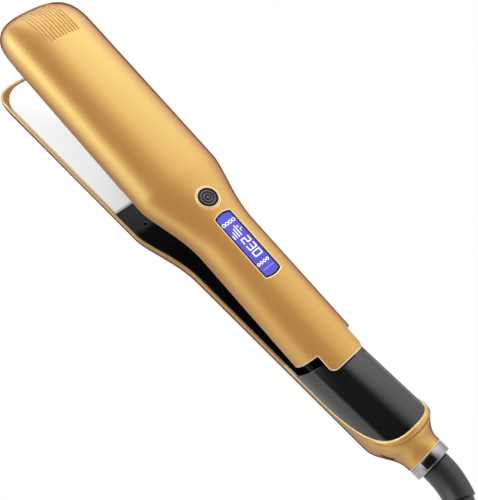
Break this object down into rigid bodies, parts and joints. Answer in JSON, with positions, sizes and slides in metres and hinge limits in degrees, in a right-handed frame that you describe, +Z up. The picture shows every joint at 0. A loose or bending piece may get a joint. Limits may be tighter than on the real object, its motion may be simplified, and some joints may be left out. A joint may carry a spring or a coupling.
{
  "type": "hair straightener",
  "caption": "Wide-plate hair straightener standing open: sprung upper arm, floating heating plates, round power button, lit display, hinge housing and swivelling cord.",
  "frame": {"origin": "on the flat underside of the lower shell, straight below the hinge pin", "axes": "+X runs from the hinge towards the cord, +Z up, +Y to the right of someone looking from the tip towards the cord; the hinge pin lies along Y"},
  "size_m": [0.3616, 0.0781, 0.0686],
  "materials": {
    "gold_shell": "satin gold metallic lacquer on moulded plastic",
    "black_gloss": "polished black plastic",
    "black_matte": "fine-grained black plastic",
    "tail_silver": "turned and brushed ring",
    "plate_coating": "pale ceramic-coated aluminium",
    "heater_ceramic": "fired alumina strip",
    "steel": "spring steel and zinc-plated fasteners",
    "silicone": "red-brown silicone cushion",
    "silicone_pale": "pale silicone",
    "bead_epoxy": "dark epoxy bead",
    "fuse_metal": "plated metal can",
    "potting": "dark blue potting resin",
    "lead_grey": "silicone sleeved lead",
    "lead_red": "silicone sleeved lead",
    "bush_nylon": "acetal bush",
    "bezel_cream": "pale gold plated plastic rim",
    "lens": "clear window over a blue display",
    "lcd": "blue liquid crystal panel",
    "backlight": "blue light guide",
    "contact_brass": "contact brass",
    "board_green": "green circuit board",
    "capacitor_yellow": "yellow film capacitor",
    "terminal_white": "white nylon block",
    "fuse_ceramic": "ceramic fuse body",
    "cord_rubber": "soft black cord compound",
    "copper": "copper strands"
  },
  "bodies": {
    "lower_arm": {"lower_shell": "gold_shell", "lower_inner_frame": "black_gloss", "hinge_housing": "black_gloss", "swivel_ring": "tail_silver", "ring_window": "black_gloss", "swivel_socket": "black_matte", "slip_contacts": "contact_brass", "lower_plate_cradle": "black_matte", "lower_plate_pads": "silicone", "lower_thermistor": "bead_epoxy", "thermal_fuse": "fuse_metal", "ion_emitter": "steel", "ion_module": "potting", "lower_screws": "steel", "lower_leads": "lead_grey", "hinge_pin": "steel", "hinge_pin_clips": "steel", "hinge_spring": "steel"},
    "lower_floating_plate": {"lower_plate": "plate_coating", "lower_heater": "heater_ceramic", "lower_heater_clip": "steel"},
    "upper_arm": {"upper_shell": "gold_shell", "upper_inner_frame": "black_gloss", "upper_plate_cradle": "black_matte", "upper_plate_pads": "silicone", "upper_thermistor": "bead_epoxy", "button_bezel": "bezel_cream", "button_return_ring": "silicone_pale", "tact_switch": "black_matte", "display_lens": "lens", "display_gasket": "black_matte", "lcd_glass": "lcd", "lcd_backlight": "backlight", "lcd_contact_strips": "black_matte", "control_board": "board_green", "board_triac": "black_matte", "board_capacitor": "capacitor_yellow", "board_chip": "black_matte", "board_fuse": "fuse_ceramic", "board_terminals": "terminal_white", "upper_screws": "steel", "upper_leads": "lead_red", "hinge_bushes": "bush_nylon"},
    "upper_floating_plate": {"upper_plate": "plate_coating", "upper_heater": "heater_ceramic", "upper_heater_clip": "steel"},
    "button": {"power_button": "black_matte"},
    "cord": {"swivel_hub": "black_matte", "hub_contact_rings": "contact_brass", "cord_boot": "cord_rubber", "power_cord": "cord_rubber", "cord_cores": "copper"}
  },
  "joints": [
    {"name": "arm_hinge", "type": "hinge", "parent": "lower_arm", "child": "upper_arm", "pos_m": [0, 0, 0.01415], "axis": [0, 1, 0], "range_deg": [-10.2, 0], "stiffness_Nm_per_rad": 1.2, "springref_deg": 28.65},
    {"name": "lower_plate_float", "type": "slide", "parent": "lower_arm", "child": "lower_floating_plate", "axis": [0, 0, -1], "range_m": [0, 0.0006], "stiffness_N_per_m": 1500, "springref_m": -0.0008},
    {"name": "upper_plate_float", "type": "slide", "parent": "upper_arm", "child": "upper_floating_plate", "axis": [0.1771, 0, 0.9842], "range_m": [0, 0.0006], "stiffness_N_per_m": 1500, "springref_m": -0.0008},
    {"name": "power_button_press", "type": "slide", "parent": "upper_arm", "child": "button", "axis": [-0.1771, 0, -0.9842], "range_m": [0, 0.00045], "stiffness_N_per_m": 900, "springref_m": -0.0006},
    {"name": "cord_swivel", "type": "hinge", "parent": "lower_arm", "child": "cord", "pos_m": [0.045, 0, 0.0132], "axis": [1, 0, 0], "continuous": true}
  ]
}
